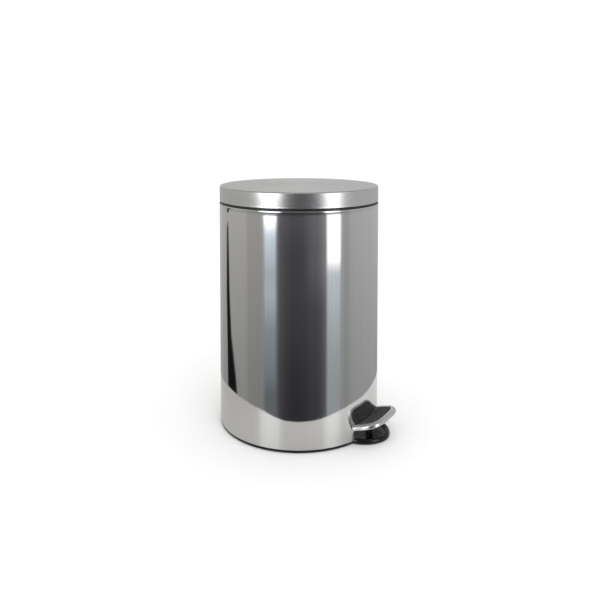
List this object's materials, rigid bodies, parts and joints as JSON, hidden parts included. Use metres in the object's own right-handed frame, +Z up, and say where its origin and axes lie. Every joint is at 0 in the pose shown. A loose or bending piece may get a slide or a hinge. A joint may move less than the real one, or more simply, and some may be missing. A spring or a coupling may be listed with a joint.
{
  "type": "pedal bin",
  "caption": "Round steel pedal bin with a hinged lid, black base and rim, lift-out bucket, and a foot pedal that raises the lid through a lever and push rod.",
  "frame": {"origin": "centre of the base's circle, on the floor", "axes": "+Z up; -Y to the front, where the pedal is; +Y to the rear, where the lid's hinge is; +X to the right as seen from the pedal side"},
  "size_m": [0.2944, 0.3476, 0.4418],
  "materials": {
    "steel_mirror": "polished stainless steel",
    "steel_brushed": "fine brushed stainless steel",
    "chrome": "bright chrome plate",
    "base_black": "glossy moulded plastic",
    "black_plastic": "satin moulded plastic",
    "grey_plastic": "satin moulded plastic",
    "bucket_plastic": "moulded polypropylene, satin",
    "natural_plastic": "natural nylon",
    "black_rubber": "fine-textured rubber",
    "zinc_steel": "zinc-plated steel"
  },
  "bodies": {
    "casing": {"body_shell": "steel_mirror", "base": "base_black", "anti_slip_ring": "black_rubber", "front_foot_pad": "black_rubber", "top_ring": "black_plastic", "rim_rivets": "black_plastic", "hinge_housing": "black_plastic", "hinge_screws": "zinc_steel", "hinge_pin": "zinc_steel", "rod_guides": "natural_plastic", "guide_rivets": "zinc_steel", "pivot_pin": "zinc_steel", "pivot_clips": "zinc_steel", "lever_pads": "black_rubber"},
    "lid": {"lid_shell": "steel_brushed", "lid_liner": "grey_plastic", "lid_hinge_arm": "black_plastic", "lid_arm_screws": "zinc_steel", "lid_buffers": "black_rubber"},
    "bucket": {"inner_bucket": "bucket_plastic"},
    "bail": {"bucket_bail": "zinc_steel", "bail_grip": "black_plastic"},
    "pedal": {"pedal_lever": "zinc_steel", "pedal_shell": "chrome", "pedal_pad": "black_rubber", "pedal_rivets": "zinc_steel"},
    "lift_rod": {"push_rod": "zinc_steel", "rod_cap": "natural_plastic", "rod_foot": "natural_plastic"}
  },
  "joints": [
    {"name": "lid_open", "type": "hinge", "parent": "casing", "child": "lid", "pos_m": [0, 0.153, 0.404], "axis": [-1, 0, 0], "range_deg": [0, 75]},
    {"name": "pedal_press", "type": "hinge", "parent": "casing", "child": "pedal", "pos_m": [0, -0.086, 0.022], "axis": [1, 0, 0], "range_deg": [0, 5.65]},
    {"name": "rod_lift", "type": "slide", "parent": "casing", "child": "lift_rod", "axis": [0, 0, 1], "range_m": [0, 0.02192]},
    {"name": "bucket_lift", "type": "slide", "parent": "casing", "child": "bucket", "axis": [0, 0, 1], "range_m": [0, 0.0095]},
    {"name": "bail_swing", "type": "hinge", "parent": "bucket", "child": "bail", "pos_m": [0, 0, 0.4004], "axis": [-1, 0, 0], "range_deg": [0, 7]}
  ],
  "couplings": [
    {"joint": "pedal_press", "follows": "lid_open", "ratio": 0.075276},
    {"joint": "rod_lift", "follows": "lid_open", "m_per_rad": 0.016742}
  ]
}
